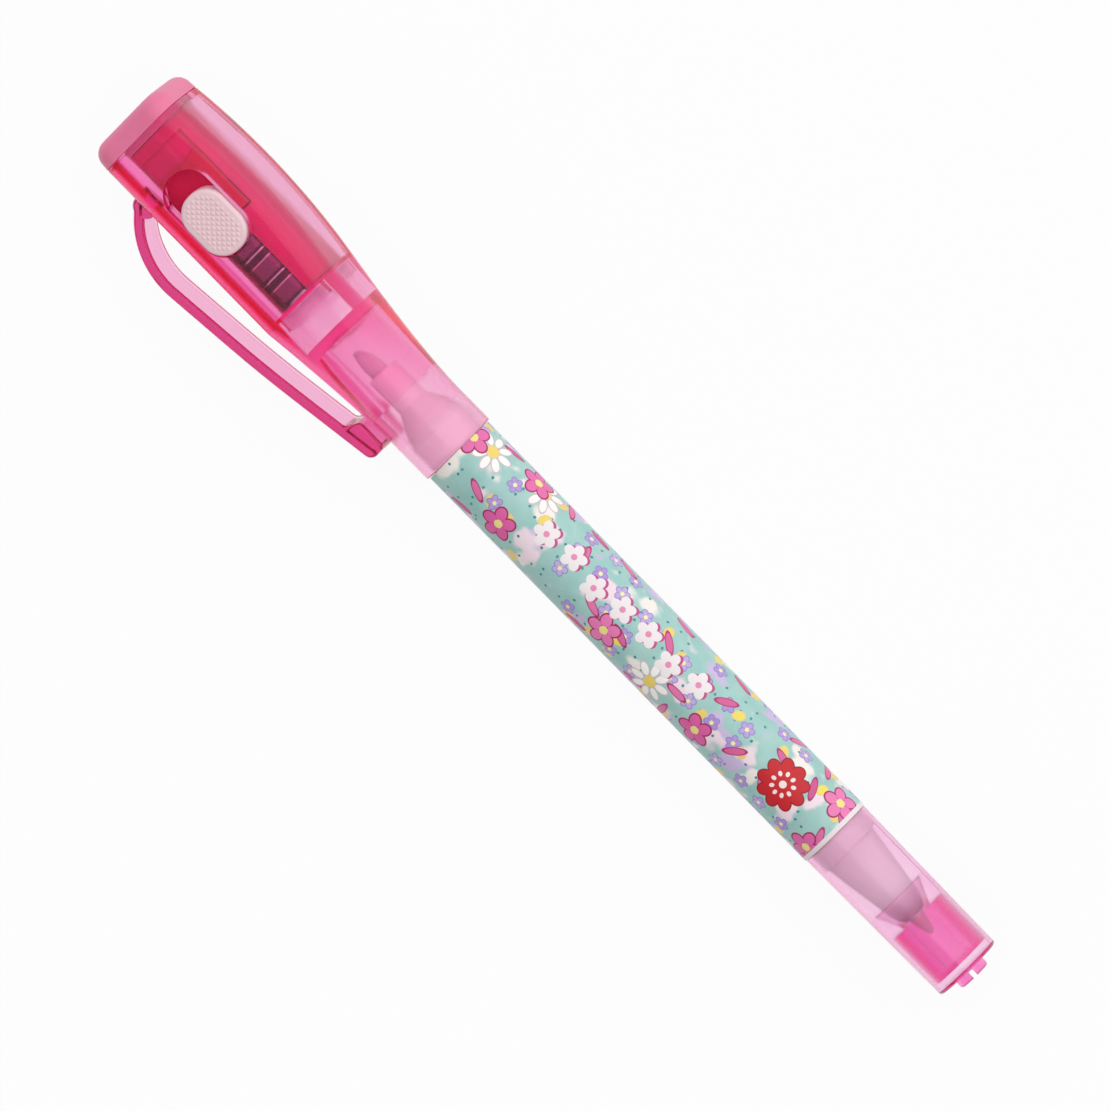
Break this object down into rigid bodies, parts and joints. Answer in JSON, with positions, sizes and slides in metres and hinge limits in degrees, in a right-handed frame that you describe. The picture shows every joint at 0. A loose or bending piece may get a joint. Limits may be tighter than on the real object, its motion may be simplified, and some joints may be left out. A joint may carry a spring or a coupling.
{
  "type": "uv invisible ink pen",
  "caption": "Two-ended pen: felt marker under a clear cap with a switched torch, clip and button cells, printed barrel, and a ballpoint tip under a clear tail cap",
  "frame": {"origin": "on the pen's axis, at the middle of the printed barrel", "axes": "+X along the pen from the torch to the ballpoint, +Z out of the torch's switch, -Y towards the pocket clip"},
  "size_m": [0.1457, 0.0198, 0.0131],
  "materials": {
    "clear_pink": "clear tinted moulding",
    "clear_magenta": "clear tinted moulding",
    "frosted_pink": "frosted moulding",
    "deep_pink": "moulded",
    "white_plastic": "moulded",
    "printed_film": "printed film",
    "lamp_resin": "clear cast resin",
    "plated_steel": "plated strip",
    "cell_steel": "stamped can",
    "nickel_tip": "turned",
    "felt": "bonded fibre",
    "refill_plastic": "extruded tube",
    "writing_ink": "paste ink"
  },
  "bodies": {
    "pen": {"barrel": "white_plastic", "barrel_film": "printed_film", "nib_holder": "white_plastic", "marker_nib": "felt", "ink_reservoir": "felt", "reservoir_wrap": "refill_plastic", "divider_plug": "white_plastic", "nose_cone": "white_plastic", "refill_tube": "refill_plastic", "refill_ink": "writing_ink", "refill_follower": "refill_plastic", "tip_adapter": "white_plastic", "ballpoint_tip": "nickel_tip"},
    "torch_cap": {"bezel": "frosted_pink", "torch_shell": "clear_pink", "cap_neck": "clear_pink", "cell_carrier": "deep_pink", "uv_led": "lamp_resin", "led_anode_lead": "plated_steel", "led_cathode_lead": "plated_steel", "front_contact": "plated_steel", "rear_contact": "plated_steel", "button_cell_1": "cell_steel", "button_cell_2": "cell_steel", "button_cell_3": "cell_steel"},
    "switch": {"switch_button": "white_plastic", "switch_slider": "deep_pink", "switch_contact": "plated_steel"},
    "clip": {"pocket_clip": "clear_pink"},
    "end_cap": {"tail_cap": "clear_magenta", "tail_liner": "clear_magenta"},
    "ball": {"writing_ball": "nickel_tip"}
  },
  "joints": [
    {"name": "torch_cap_pull", "type": "slide", "parent": "pen", "child": "torch_cap", "axis": [-1, 0, 0], "range_m": [0, 0.022]},
    {"name": "tail_cap_pull", "type": "slide", "parent": "pen", "child": "end_cap", "axis": [1, 0, 0], "range_m": [0, 0.022]},
    {"name": "switch_slide", "type": "slide", "parent": "torch_cap", "child": "switch", "axis": [-1, 0, 0], "range_m": [0, 0.0029]},
    {"name": "clip_flex", "type": "hinge", "parent": "torch_cap", "child": "clip", "pos_m": [-0.07972, -0.00605, 0], "axis": [0, 0, -1], "range_deg": [0, 4], "stiffness_Nm_per_rad": 1},
    {"name": "ball_roll", "type": "hinge", "parent": "pen", "child": "ball", "pos_m": [0.04922, 0, 0], "axis": [0, 1, 0], "continuous": true}
  ]
}
